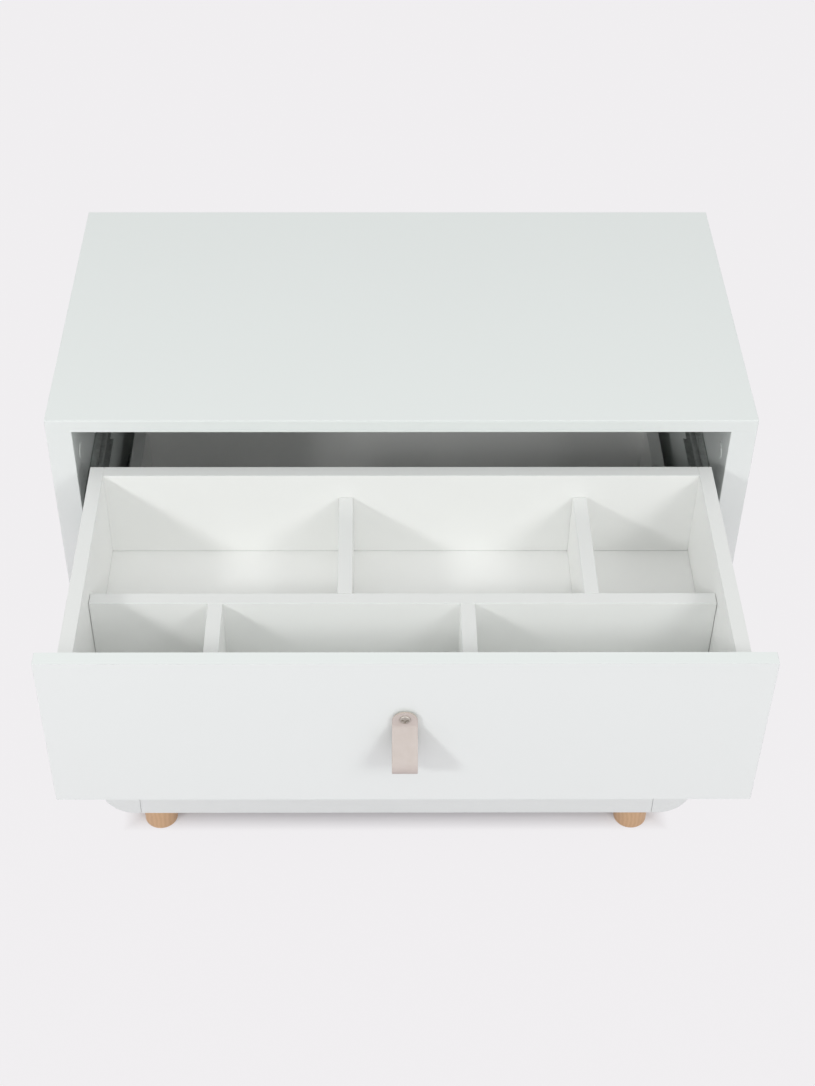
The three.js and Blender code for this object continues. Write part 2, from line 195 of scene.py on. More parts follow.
def coated(name, colour, cloudiness, roughness, grain, relief):
    """A material for a coated board, whose relief is in metres."""
    material, tree, shader, place = new_material(name)
    coat = add(tree, "Group", node_tree=film)
    tree.links.new(place, coat.inputs["Place"])
    coat.inputs["Colour"].default_value = srgb(*colour)
    coat.inputs["Cloud"].default_value = cloudiness
    coat.inputs["Roughness"].default_value = roughness
    coat.inputs["Grain"].default_value = grain
    bump = add(tree, "Bump", {"Height": coat.outputs["Height"], "Strength": 1, "Distance": relief})
    tree.links.new(coat.outputs["Colour"], shader.inputs["Base Color"])
    tree.links.new(coat.outputs["Roughness"], shader.inputs["Roughness"])
    tree.links.new(bump.outputs["Normal"], shader.inputs["Normal"])
    return material


lacquer = coated("satin_white_lacquer", (229, 234, 232), 0.02, 0.42, 700, 0.00001)

low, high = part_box("top_panel")
front, back, top, half_width = low.y, high.y, high.z, high.x
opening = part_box("side_panel_right")[0].x
edge_radius = 0.0008

top_board = copy_board("top_panel", "top_board")


def top_edge(a, b):
    upper = at(a.z, top) and at(b.z, top)
    corner = at(abs(a.x), half_width) and at(a.x, b.x) and at(a.y, b.y)
    return upper or corner


round_over(top_board, edge_radius, top_edge)
install(top_board, "top_panel", "lacquered_board", lacquer)


def side_edge(a, b):
    upright = at(a.x, b.x) and at(a.y, b.y)
    return upright and (at(a.y, front) or at(a.y, back) and at(abs(a.x), half_width))


block_low, block_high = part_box("corner_block_right")
corner_radius = 0.032


def outside(point):
    across = abs(point.x) - (half_width - corner_radius)
    return hypot(across, point.z - (block_low.z + corner_radius)) > corner_radius - 0.0001


def block_edge(a, b):
    outer = outside(a) and outside(b) and at(a.y, b.y)
    joint = at(a.z, b.z) and at(a.z, block_high.z) or at(abs(a.x), block_low.x) and at(abs(b.x), block_low.x)
    return outer and not joint or at(a.y, front) and at(b.y, front) and not joint


for side, _ in sides:
    side_board = copy_board(f"side_panel_{side}", f"side_board_{side}")
    round_over(side_board, edge_radius, side_edge)
    install(side_board, f"side_panel_{side}", "lacquered_board", lacquer)
    corner = copy_board(f"corner_block_{side}", f"rounded_corner_{side}")
    round_over(corner, edge_radius, block_edge)
    install(corner, f"corner_block_{side}", "lacquered_board", lacquer)


def bottom_edge(a, b):
    lying = at(a.z, b.z) and at(a.y, b.y)
    return lying and (at(a.y, front) or at(a.y, back) and at(a.z, block_low.z))


bottom_board = copy_board("bottom_panel", "bottom_board")
round_over(bottom_board, edge_radius, bottom_edge)
install(bottom_board, "bottom_panel", "lacquered_board", lacquer)

# Back panel
# A 4 mm hardboard sheet, painted white, let into a rabbet round the rear of the carcass and pinned there.
# The grey given to it here is painted shade, which dims the bay behind the drawers.

# Grey rather than white: painted shade for the dim bay behind the drawers.
hardboard = coated("painted_hardboard", (209, 211, 208), 0.04, 0.62, 1500, 0.00003)
nodes["back_panel"].material_slots[0].material = hardboard

# Cover caps
# A white plastic cap hides each cam fitting, high on the inner face of a side panel. Its plug is pressed into
# the fitting's bore, its rim is rounded and its middle is slightly dished.

cap_plastic = coated("moulded_white_plastic", (230, 234, 232), 0.01, 0.4, 2500, 0.000005)


def select(piece, kind, chosen):
    """In edit mode, selects only the faces or edges whose middle and normal `chosen` accepts."""
    bpy.ops.mesh.select_mode(type=kind)
    bpy.ops.mesh.select_all(action="DESELECT")
    shape = bmesh.from_edit_mesh(piece.data)
    if kind == "FACE":
        for face in shape.faces:
            if chosen(face.calc_center_median(), face.normal):
                face.select_set(True)
    else:
        for edge in shape.edges:
            if chosen(edge.verts[0].co, edge.verts[1].co):
                edge.select_set(True)
    bmesh.update_edit_mesh(piece.data)


def lay_down(piece, name):
    """Names a new piece and puts its place and turn into its mesh."""
    piece.name = name
    take(piece)
    bpy.ops.object.transform_apply(location=True, rotation=True, scale=True)


cap_radius, cap_thickness, cap_edge = 0.0075, 0.0008, 0.0004
plug_radius, plug_length, plug_step = 0.0057, 0.004, 0.0006
dish_margin, dish_slope, dish_depth = 0.0022, 0.0008, 0.0002
cap_clearance = 0.00005
for side, sign in sides:
    low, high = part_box(f"cam_cap_{side}")
    centre_x = sign * (opening - (cap_thickness + cap_clearance) / 2)
    bpy.ops.mesh.primitive_cylinder_add(
        vertices=48,
        radius=cap_radius,
        depth=cap_thickness - cap_clearance,
        location=(centre_x, (low.y + high.y) / 2, (low.z + high.z) / 2),
        rotation=(0, sign * pi / 2, 0),
    )
    cap = bpy.context.active_object
    lay_down(cap, f"cover_cap_{side}")
    bpy.ops.object.mode_set(mode="EDIT")
    select(cap, "FACE", lambda middle, normal: normal.x * sign > 0.9)
    bpy.ops.mesh.inset(thickness=cap_radius - plug_radius, depth=0)
    bpy.ops.mesh.extrude_region_move(TRANSFORM_OT_translate={"value": (sign * plug_length, 0, 0)})
    bpy.ops.mesh.inset(thickness=plug_step, depth=0)
    select(cap, "FACE", lambda middle, normal: normal.x * sign < -0.9)
    bpy.ops.mesh.inset(thickness=dish_margin, depth=0)
    bpy.ops.mesh.inset(thickness=dish_slope, depth=-dish_depth)
    bpy.ops.object.mode_set(mode="OBJECT")
    face_of_cap = sign * (opening - cap_thickness)
    round_over(cap, cap_edge, lambda a, b: at(a.x, face_of_cap) and at(b.x, face_of_cap))
    install(cap, f"cam_cap_{side}", "cap_plastic", cap_plastic)

# Feet
# Four plain cylinders turned from pale beech and oiled, the lower edge softened. A steel stud in the end
# grain screws each of them to the bottom panel.

foot_radius, foot_height = 0.017, 0.04395
lower_edge, upper_edge = 0.0015, 0.0003
stud_radius, stud_length, stud_foot = 0.004, 0.016, 0.0001
stud_point, stud_point_length = 0.0005, 0.0004

beech, tree, shader, place = new_material("oiled_beech")
bent = add(tree, "TexNoise", {"Vector": place, "Scale": 14, "Detail": 2})
drift = add(tree, "VectorMath", {0: bent.outputs["Color"], 1: (0.02, 0.02, 0.0)}, operation="MULTIPLY")
heart = add(tree, "VectorMath", {0: place, 1: drift.outputs[0]}, operation="ADD")
rings = add(
    tree,
    "TexWave",
    {"Vector": heart.outputs[0], "Scale": 75, "Distortion": 1.5, "Detail": 2, "Detail Scale": 1.2},
    wave_type="RINGS",
    rings_direction="Z",
)
along = add(tree, "Mapping", {"Vector": place, "Scale": (1400, 1400, 90)})
fibres = add(tree, "TexNoise", {"Vector": along.outputs[0], "Scale": 1, "Detail": 3})
speckle = add(tree, "Mapping", {"Vector": place, "Scale": (900, 900, 260)})
flecks = add(tree, "TexNoise", {"Vector": speckle.outputs[0], "Scale": 1, "Detail": 1})
fleck_mask = add(tree, "MapRange", {"Value": flecks.outputs["Fac"], "From Min": 0.62, "From Max": 0.72})
grown = add(
    tree,
    "Mix",
    {0: rings.outputs["Fac"], 6: srgb(216, 181, 143), 7: srgb(207, 171, 133)},
    data_type="RGBA",
)
fine = add(tree, "MapRange", {"Value": fibres.outputs["Fac"], "To Min": 0.0, "To Max": 0.3})
worked = add(tree, "Mix", {0: fine.outputs[0], 6: grown.outputs[2], 7: srgb(197, 158, 118)}, data_type="RGBA")
flecked = add(tree, "Mix", {6: worked.outputs[2], 7: srgb(186, 148, 110)}, data_type="RGBA")
soft_fleck = add(tree, "Math", {0: fleck_mask.outputs[0], 1: 0.3}, operation="MULTIPLY")
tree.links.new(soft_fleck.outputs[0], flecked.inputs[0])
tree.links.new(flecked.outputs[2], shader.inputs["Base Color"])
sheen = add(tree, "MapRange", {"Value": fibres.outputs["Fac"], "To Min": 0.42, "To Max": 0.6})
tree.links.new(sheen.outputs[0], shader.inputs["Roughness"])
pores = add(tree, "Bump", {"Height": fibres.outputs["Fac"], "Strength": 0.5, "Distance": 0.00006})
tree.links.new(pores.outputs["Normal"], shader.inputs["Normal"])

# Rolled or drawn metal: fine streaks along one direction that change its tone, its roughness and its relief
streaks, given, put = new_group(
    "drawn_metal",
    (("Place", "Vector"), ("Stretch", "Vector"), ("Colour", "Color"), ("Roughness", "Float")),
    (("Colour", "Color"), ("Roughness", "Float"), ("Height", "Float")),
)
stretched = add(streaks, "VectorMath", {0: given["Place"], 1: given["Stretch"]}, operation="MULTIPLY")
lines = add(streaks, "TexNoise", {"Vector": stretched.outputs[0], "Scale": 1, "Detail": 4})
spots = add(streaks, "TexVoronoi", {"Vector": given["Place"], "Scale": 260})
spot_tone = add(streaks, "SeparateColor", {0: spots.outputs["Color"]})
both = add(streaks, "Math", {0: lines.outputs["Fac"], 1: spot_tone.outputs[0]}, operation="ADD")
span = add(streaks, "MapRange", {"Value": both.outputs[0], "From Max": 2, "To Min": 0.8, "To Max": 1.15})
toned = add(streaks, "VectorMath", {0: given["Colour"], "Scale": span.outputs[0]}, operation="SCALE")
streaks.links.new(toned.outputs[0], put["Colour"])
wear = add(streaks, "MapRange", {"Value": lines.outputs["Fac"], "To Min": -0.1, "To Max": 0.14})
worn = add(streaks, "Math", {0: wear.outputs[0], 1: given["Roughness"]}, operation="ADD")
streaks.links.new(worn.outputs[0], put["Roughness"])
streaks.links.new(lines.outputs["Fac"], put["Height"])


def metal(name, colour, roughness, stretch, relief, metallic=1):
    """A bare or plated metal with its rolling marks along the direction that is stretched least."""
    material, tree, shader, place = new_material(name)
    mill = add(tree, "Group", node_tree=streaks)
    tree.links.new(place, mill.inputs["Place"])
    mill.inputs["Stretch"].default_value = stretch
    mill.inputs["Colour"].default_value = srgb(*colour)
    mill.inputs["Roughness"].default_value = roughness
    bump = add(tree, "Bump", {"Height": mill.outputs["Height"], "Strength": 1, "Distance": relief})
    tree.links.new(mill.outputs["Colour"], shader.inputs["Base Color"])
    tree.links.new(mill.outputs["Roughness"], shader.inputs["Roughness"])
    tree.links.new(bump.outputs["Normal"], shader.inputs["Normal"])
    shader.inputs["Metallic"].default_value = metallic
    return material


steel = metal("zinc_plated_steel", (190, 194, 192), 0.46, (1800, 60, 1800), 0.000004, 0.7)

for end in ("front", "rear"):
    for side, _ in sides:
        low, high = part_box(f"foot_{end}_{side}")
        centre = (low + high) / 2
        bpy.ops.mesh.primitive_cylinder_add(
            vertices=96,
            radius=foot_radius,
            depth=foot_height,
            location=(centre.x, centre.y, foot_height / 2),
        )
        foot = bpy.context.active_object
        lay_down(foot, f"turned_foot_{end}_{side}")
        round_over(foot, lower_edge, lambda a, b: at(a.z, 0) and at(b.z, 0), steps=5)
        round_over(foot, upper_edge, lambda a, b: at(a.z, foot_height) and at(b.z, foot_height), steps=2)
        bpy.ops.object.mode_set(mode="EDIT")
        select(foot, "FACE", lambda middle, normal: normal.z > 0.99)
        bpy.ops.mesh.inset(thickness=foot_radius - upper_edge - stud_radius, depth=0)
        bpy.ops.mesh.extrude_region_move(TRANSFORM_OT_translate={"value": (0, 0, stud_foot)})
        plain = stud_length - stud_foot - stud_point
        bpy.ops.mesh.extrude_region_move(TRANSFORM_OT_translate={"value": (0, 0, plain)})
        bpy.ops.mesh.inset(thickness=stud_point, depth=stud_point_length)
        bpy.ops.object.mode_set(mode="OBJECT")
        foot.data.materials.append(beech)
        foot.data.materials.append(steel)
        for polygon in foot.data.polygons:
            polygon.material_index = 1 if polygon.center.z > foot_height + stud_foot / 5 else 0
        smooth(foot)
        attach(foot, "carcass")
        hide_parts(f"foot_{end}_{side}")

# Runners
# Each drawer runs on two telescopic runners of zinc-plated strip, rolled into three channels, one inside the
# other. The outer one is screwed to the side panel and the inner one to the drawer. Balls in thin cages part
# them.

steel_thickness, bend_radius, lip_radius = 0.0012, 0.0018, 0.001
rolled = (steel_thickness, bend_radius, lip_radius)
slot_tool_depth = 0.006
runner_screw_radius, runner_screw_depth, runner_screw_seat = 0.0036, 0.0008, 0.0034
recess_arm = (0.0005, 0.0036, 0.0007)
ball_width, balls_in_row, row_margin = 0.0024, 6, 0.008
cage_thickness, cage_bend, cage_lip = 0.0004, 0.0008, 0.0002
cage_web, cage_start, cage_end = 0.0005, 0.1, 0.002


def spin_edge(piece, place, centre, axis, angle, steps):
    """Rolls the edges that `place` accepts round an axis."""
    select(piece, "EDGE", place)
    bpy.ops.mesh.spin(steps=steps, angle=angle, center=centre, axis=axis)


def close_shell(piece):
    """Merges doubles and turns the faces one way."""
    bpy.ops.object.mode_set(mode="EDIT")
    bpy.ops.mesh.select_all(action="SELECT")
    bpy.ops.mesh.remove_doubles(threshold=0.000005)
    bpy.ops.mesh.normals_make_consistent(inside=False)
    bpy.ops.object.mode_set(mode="OBJECT")


def apply(piece, kind, **settings):
    """Adds a modifier with its settings and applies it."""
    take(piece)
    bpy.ops.object.modifier_add(type=kind)
    modifier = piece.modifiers[-1]
    for setting, value in settings.items():
        setattr(modifier, setting, value)
    bpy.ops.object.modifier_apply(modifier=modifier.name)


def roll_channel(name, web, tip, y_span, z_span, thickness, bend, lip):
    """Strip rolled into a channel: a web at x = web, two flanges towards x = tip, and a lip along each."""
    way = 1 if tip > web else -1
    middle = (z_span[0] + z_span[1]) / 2
    reach = (z_span[1] - z_span[0] - thickness) / 2
    line = web + way * thickness / 2
    bpy.ops.mesh.primitive_plane_add(
        size=1,
        location=(line, (y_span[0] + y_span[1]) / 2, middle),
        rotation=(0, pi / 2, 0),
    )
    piece = bpy.context.active_object
    piece.scale = (2 * (reach - bend), y_span[1] - y_span[0], 1)
    lay_down(piece, name)
    bpy.ops.object.mode_set(mode="EDIT")
    for up in (1, -1):
        start = middle + up * (reach - bend)
        turn = -up * way * pi / 2
        spin_edge(
            piece,
            lambda a, b: at(a.z, start) and at(b.z, start),
            (line + way * bend, 0, start),
            (0, 1, 0),
            turn,
            4,
        )
        flange = abs(tip - line) - bend - lip - thickness / 2
        bpy.ops.mesh.extrude_region_move(TRANSFORM_OT_translate={"value": (way * flange, 0, 0)})
        bpy.ops.mesh.spin(
            steps=4,
            angle=turn,
            center=(tip - way * (lip + thickness / 2), 0, middle + up * (reach - lip)),
            axis=(0, 1, 0),
        )
    close_shell(piece)
    apply(piece, "SOLIDIFY", thickness=thickness, offset=0, use_even_offset=True)
    return piece


def cut_out(piece, tools):
    """Cuts the tools out of a piece and removes them."""
    for tool in tools:
        take(piece)
        bpy.ops.object.modifier_add(type="BOOLEAN")
        piece.modifiers[-1].object = tool
        piece.modifiers[-1].solver = "EXACT"
        bpy.ops.object.modifier_apply(modifier=piece.modifiers[-1].name)
        bpy.data.objects.remove(tool)


def slot_tools(x, z, places):
    """One object of cutters through a web, each a round hole or a slot along the runner."""
    tools = []
    for y, radius, length in places:
        bpy.ops.mesh.primitive_cylinder_add(
            vertices=24,
            radius=radius,
            depth=slot_tool_depth,
            location=(x, y, z),
            rotation=(0, pi / 2, 0),
        )
        tool = bpy.context.active_object
        lay_down(tool, "slot_tool")
        if length:
            bpy.ops.object.mode_set(mode="EDIT")
            bpy.ops.mesh.select_mode(type="VERT")
            bpy.ops.mesh.select_all(action="DESELECT")
            shape = bmesh.from_edit_mesh(tool.data)
            for vertex in shape.verts:
                vertex.select_set(vertex.co.y > y + 0.00001)
            bmesh.update_edit_mesh(tool.data)
            bpy.ops.transform.translate(value=(0, length, 0))
            bpy.ops.object.mode_set(mode="OBJECT")
        tools.append(tool)
    take(tools[0])
    for tool in tools:
        tool.select_set(True)
    bpy.ops.object.join()
    return bpy.context.active_object


def screw_heads(web, way, z, places, proud, edge):
    """Cross-recessed screw heads that stand a little proud of a web, all in one object."""
    face = web + way * proud
    x = face - way * runner_screw_depth / 2
    heads = []
    for y in places:
        bpy.ops.mesh.primitive_cylinder_add(
            vertices=32,
            radius=runner_screw_radius,
            depth=runner_screw_depth,
            location=(x, y, z),
            rotation=(0, pi / 2, 0),
        )
        head = bpy.context.active_object
        lay_down(head, "screw_head")
        round_over(head, edge, lambda a, b: at(a.x, face) and at(b.x, face), steps=2)
        crosses = []
        for turn in (0, pi / 2):
            bpy.ops.mesh.primitive_cube_add(
                size=1, location=(face, y, z), rotation=(turn + pi / 4, 0, 0), scale=recess_arm
            )
            crosses.append(bpy.context.active_object)
        cut_out(head, crosses)
        heads.append(head)
    take(heads[0])
    for head in heads:
        head.select_set(True)
    bpy.ops.object.join()
    return bpy.context.active_object


def join(piece, *others):
    """Makes several objects one piece, under the first one's name."""
    take(piece)
    for other in others:
        other.select_set(True)
    bpy.ops.object.join()
    return piece


def twin(piece, name, shift, mirrored=False):
    """A second piece like the first, moved, or mirrored left to right and then moved."""
    take(piece)
    bpy.ops.object.duplicate()
    copy = bpy.context.active_object
    copy.scale.x = -1 if mirrored else 1
    copy.location = shift
    lay_down(copy, name)
    if mirrored:
        close_shell(copy)
    return copy


def ball_cage(name, web, tip, rear, middle, race):
    """A thin rolled cage with rows of balls in both races, each race that far from the middle."""
    y_span = (rear - cage_start, rear - cage_end)
    reach = race + cage_thickness / 2
    z_span = (middle - reach, middle + reach)
    cage = roll_channel(name, web, tip, y_span, z_span, cage_thickness, cage_bend, cage_lip)
    row_length = y_span[1] - y_span[0] - 2 * row_margin
    balls = []
    for up in (1, -1):
        for step in range(balls_in_row):
            y = y_span[0] + row_margin + step * row_length / (balls_in_row - 1)
            bpy.ops.mesh.primitive_ico_sphere_add(
                subdivisions=2, radius=ball_width / 2, location=((web + tip) / 2, y, middle + up * race)
            )
            balls.append(bpy.context.active_object)
            lay_down(balls[-1], "ball")
    return join(cage, *balls)


low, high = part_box("top_cabinet_runner_right")
hung = [low.y + step for step in (0.035, 0.16, 0.224)]
cabinet_runner = roll_channel("cabinet_runner", high.x, low.x, (low.y, high.y), (low.z, high.z), *rolled)
middle_z = (low.z + high.z) / 2
web_face = high.x - steel_thickness
holes = ((0.012, 0), (0.06, 0.007), (0.128, 0.007), (0.19, 0))
slots = [(low.y + step, 0.0023, length) for step, length in holes]
slots += [(y, runner_screw_seat, 0) for y in hung]
cut_out(cabinet_runner, [slot_tools(high.x, middle_z, slots)])
cabinet_runner = join(cabinet_runner, screw_heads(web_face, -1, middle_z, hung, 0.00005, 0.0001))

low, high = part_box("top_middle_runner_right")
middle_runner = roll_channel("middle_runner", high.x, low.x, (low.y, high.y), (low.z, high.z), *rolled)
holes = ((0.01, 0.002, 0), (0.03, 0.0035, 0.016), (0.21, 0.0035, 0.014), (0.24, 0.002, 0))
slots = [(low.y + step, radius, length) for step, radius, length in holes]
cut_out(middle_runner, [slot_tools(high.x, middle_z, slots)])
outer_tip, outer_race = 0.0052, 0.0151
outer_cage = ball_cage("outer_cage", high.x + cage_web, low.x + outer_tip, high.y, middle_z, outer_race)

low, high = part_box("top_drawer_runner_right")
drawer_runner = roll_channel("drawer_runner", low.x, high.x, (low.y, high.y), (low.z, high.z), *rolled)
fixed = [low.y + step for step in (0.03, 0.12, 0.222)]
holes = ((0.048, 0.006), (0.075, 0), (0.15, 0.006), (0.19, 0))
slots = [(low.y + step, 0.0021, length) for step, length in holes]
cut_out(drawer_runner, [slot_tools(low.x, middle_z, slots)])
web_face = low.x + steel_thickness
drawer_runner = join(drawer_runner, screw_heads(web_face, 1, middle_z, fixed, 0.0008, 0.0004))
inner_tip, inner_race = 0.0028, 0.0113
inner_cage = ball_cage("inner_cage", high.x + cage_web, low.x + inner_tip, high.y, middle_z, inner_race)

levels = ("top", "middle", "bottom")
for level in levels:
    for side, sign in sides:
        for shape, node, rider in (
            (cabinet_runner, f"{level}_cabinet_runner_{side}", "top_cabinet_runner_right"),
            (middle_runner, f"{level}_middle_runner_{side}", "top_middle_runner_right"),
            (outer_cage, f"{level}_middle_runner_{side}", "top_middle_runner_right"),
            (drawer_runner, f"{level}_drawer_runner_{side}", "top_drawer_runner_right"),
            (inner_cage, f"{level}_drawer_runner_{side}", "top_drawer_runner_right"),
        ):
            here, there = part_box(rider)[0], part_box(node)[0]
            shift = (0, there.y - here.y, there.z - here.z)
            piece = twin(shape, f"{shape.name}_{level}_{side}", shift, sign < 0)
            smooth(piece)
            piece.data.materials.clear()
            piece.data.materials.append(steel)
            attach(piece, nodes[node]["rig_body"])
            if shape not in (outer_cage, inner_cage):
                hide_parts(node)
for shape in (cabinet_runner, middle_runner, outer_cage, drawer_runner, inner_cage):
    bpy.data.objects.remove(shape)

# Drawer boxes and fronts
# Each box is four foil-wrapped boards glued round a grooved-in floor. The lacquered front is screwed to it
# from inside. The upper edges are banded and slightly rounded, so that a hand doesn't catch on them. The
# band is a little darker than the foil: painted shade on the upper edges.

foil = coated("white_foil_on_board", (241, 242, 240), 0.015, 0.5, 1100, 0.00001)
# The band's colour, a little darker than the foil, is painted shade on the boards' upper edges.
edge_band_painted_shade = coated("white_edge_band", (227, 229, 227), 0.01, 0.45, 1100, 0.00001)
banded_radius, band_depth = 0.0005, 0.0006


def band_with_painted_shade(board, upper):
    """Gives the upper edge of a board its band, whose darker colour is painted shade."""
    for polygon in board.data.polygons:
        polygon.material_index = 1 if polygon.center.z > upper - band_depth else 0


for level in levels:
    low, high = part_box(f"{level}_drawer_front")
    face = copy_board(f"{level}_drawer_front", f"{level}_front_board")

    def front_edge(a, b):
        ends = [at(abs(a.x), high.x) and at(abs(b.x), high.x), at(a.y, low.y) and at(b.y, low.y)]
        ends += [at(a.y, high.y) and at(b.y, high.y), at(a.z, b.z) and (at(a.z, low.z) or at(a.z, high.z))]
        return sum(ends) == 2

    round_over(face, edge_radius, front_edge)
    install(face, f"{level}_drawer_front", "lacquered_board", lacquer)
    for part in ("side_left", "side_right", "back"):
        low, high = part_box(f"{level}_drawer_{part}")
        wall = copy_board(f"{level}_drawer_{part}", f"{level}_box_{part}")

        def box_edge(a, b):
            upper = at(a.z, high.z) and at(b.z, high.z)
            if part == "back":
                return upper and at(a.y, b.y)
            at_rear = at(a.y, high.y) and at(b.y, high.y) and at(a.x, b.x)
            rear_corner = at_rear and abs(a.x) > abs(low.x + high.x) / 2
            return upper and not at(a.y, low.y) or upper and not at(b.y, low.y) or rear_corner

        round_over(wall, banded_radius, box_edge)
        install(wall, f"{level}_drawer_{part}", "drawer_board", foil, edge_band_painted_shade)
        band_with_painted_shade(wall, high.z)
    nodes[f"{level}_drawer_floor"].material_slots[0].material = foil

# Divider set
# Five thin boards in the same foil, glued into one loose set that stands on the top drawer's floor. Their
# upper edges are banded like the drawer's, with the same painted shade in the band's darker colour.

for part in ("long", "front_left", "front_right", "rear_left", "rear_right"):
    low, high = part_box(f"divider_{part}")
    divider = copy_board(f"divider_{part}", f"divider_board_{part}")

    def divider_edge(a, b):
        lengthwise = at(a.y, b.y) if part == "long" else at(a.x, b.x)
        return lengthwise and at(a.z, high.z) and at(b.z, high.z)

    round_over(divider, banded_radius, divider_edge)
    install(divider, f"divider_{part}", "drawer_board", foil, edge_band_painted_shade)
    band_with_painted_shade(divider, high.z)

# Pulls
# A strip of natural leather folded in half, its two round ends on top of each other under one cross-recessed
# screw with a nut behind the front. Below the screw the stiff leather parts into a round loop that stands out
# from the front, so that a finger can pull it.

grain, given, put = new_group(
    "leather_grain",
    (("Place", "Vector"), ("Colour", "Color"), ("Shade", "Color"), ("Pebble", "Float")),
    (("Colour", "Color"), ("Height", "Float"), ("Roughness", "Float")),
)
pebbles = add(grain, "TexVoronoi", {"Vector": given["Place"], "Scale": given["Pebble"]}, feature="SMOOTH_F1")
mottle = add(grain, "TexNoise", {"Vector": given["Place"], "Scale": 160, "Detail": 4})
fine_grain = add(grain, "TexNoise", {"Vector": given["Place"], "Scale": 5200, "Detail": 2})
mixed = add(grain, "Mix", {0: mottle.outputs["Fac"], 6: given["Colour"], 7: given["Shade"]}, data_type="RGBA")
grain.links.new(mixed.outputs[2], put["Colour"])
relief = add(
    grain,
    "Math",
    {0: fine_grain.outputs["Fac"], 1: 0.5, 2: pebbles.outputs["Distance"]},
    operation="MULTIPLY_ADD",
)
grain.links.new(relief.outputs[0], put["Height"])
dull = add(grain, "MapRange", {"Value": mottle.outputs["Fac"], "To Min": 0.45, "To Max": 0.62})
grain.links.new(dull.outputs[0], put["Roughness"])


def leather(name, colour, shade, pebble, relief):
    material, tree, shader, place = new_material(name)
    hide = add(tree, "Group", node_tree=grain)
    tree.links.new(place, hide.inputs["Place"])
    hide.inputs["Colour"].default_value = srgb(*colour)
    hide.inputs["Shade"].default_value = srgb(*shade)
    hide.inputs["Pebble"].default_value = pebble
    bump = add(tree, "Bump", {"Height": hide.outputs["Height"], "Strength": 0.6, "Distance": relief})
    tree.links.new(hide.outputs["Colour"], shader.inputs["Base Color"])
    tree.links.new(hide.outputs["Roughness"], shader.inputs["Roughness"])
    tree.links.new(bump.outputs["Normal"], shader.inputs["Normal"])
    return material


hide_face = leather("natural_leather", (202, 193, 188), (191, 181, 173), 1500, 0.00006)
hide_edge = leather("cut_leather_edge", (200, 190, 181), (184, 171, 158), 3500, 0.0001)
nickel = metal("nickel_plated_brass", (200, 194, 186), 0.45, (2500, 2500, 300), 0.000003)

strap_thickness, loop_radius, crease_radius = 0.0015, 0.00935, 0.0016
loop_ahead, loop_below, flat_below = 0.016, 0.0406, 0.015
rear_ahead, fore_ahead = 0.0008, 0.0025
rear_end, fore_end = 0.013, 0.015
screw_hole, screw_hole_depth = 0.0028, 0.02
low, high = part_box("top_drawer_pull_strap")
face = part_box("top_drawer_front")[0].y
strap_width = high.x - low.x
layer_radius = loop_radius - strap_thickness / 2
loop = Vector((0, face - loop_ahead, high.z - loop_below))
rear_flat = Vector((0, face - rear_ahead, high.z - flat_below))
fore_flat = Vector((0, face - fore_ahead, high.z - flat_below))


def touch(point, side):
    """Where a straight layer from a point meets the loop, from the loop's middle."""
    away = point - loop
    turn = Matrix.Rotation(side * acos(layer_radius / away.length), 3, "X")
    return turn @ away.normalized() * layer_radius


rear_touch, fore_touch = touch(rear_flat, -1), touch(fore_flat, 1)
bpy.ops.mesh.primitive_plane_add(
    size=1,
    location=rear_flat + Vector((0, 0, rear_end / 2)),
    rotation=(pi / 2, 0, 0),
)
strap = bpy.context.active_object
strap.scale = (strap_width, rear_end, 1)
lay_down(strap, "looped_strap")
bpy.ops.object.mode_set(mode="EDIT")
select(strap, "EDGE", lambda a, b: at(a.z, rear_flat.z) and at(b.z, rear_flat.z))
bpy.ops.mesh.extrude_region_move(TRANSFORM_OT_translate={"value": loop + rear_touch - rear_flat})
sweep = 2 * pi - rear_touch.angle(fore_touch)
bpy.ops.mesh.spin(steps=20, angle=sweep, center=loop, axis=(1, 0, 0))
bpy.ops.mesh.extrude_region_move(TRANSFORM_OT_translate={"value": fore_flat - loop - fore_touch})
bpy.ops.mesh.extrude_region_move(TRANSFORM_OT_translate={"value": (0, 0, fore_end)})
select(strap, "EDGE", lambda a, b: at(a.z, rear_flat.z) and at(b.z, rear_flat.z) and at(a.y, b.y))
bpy.ops.mesh.bevel(offset=crease_radius, segments=5, affect="EDGES")
bpy.ops.mesh.select_mode(type="VERT")
bpy.ops.mesh.select_all(action="DESELECT")
shape = bmesh.from_edit_mesh(strap.data)
lower_end = rear_flat.z + rear_end
for vertex in shape.verts:
    vertex.select_set(vertex.co.z > lower_end - 0.0001)
bmesh.update_edit_mesh(strap.data)
bpy.ops.mesh.bevel(offset=strap_width / 2 - 0.00001, segments=12, affect="VERTICES")
bpy.ops.object.mode_set(mode="OBJECT")
close_shell(strap)
strap.data.materials.append(hide_face)
strap.data.materials.append(hide_edge)
apply(strap, "SOLIDIFY", thickness=strap_thickness, offset=0, use_even_offset=True, material_offset_rim=1)
low_screw, high_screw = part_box("top_drawer_pull_screw")
screw_z = (low_screw.z + high_screw.z) / 2
bpy.ops.mesh.primitive_cylinder_add(
    vertices=32,
    radius=screw_hole,
    depth=screw_hole_depth,
    location=(0, face - 2 * strap_thickness, screw_z),
    rotation=(pi / 2, 0, 0),
)
cut_out(strap, [bpy.context.active_object])
apply(strap, "BEVEL", width=0.0003, segments=2, limit_method="ANGLE", angle_limit=radians(50))

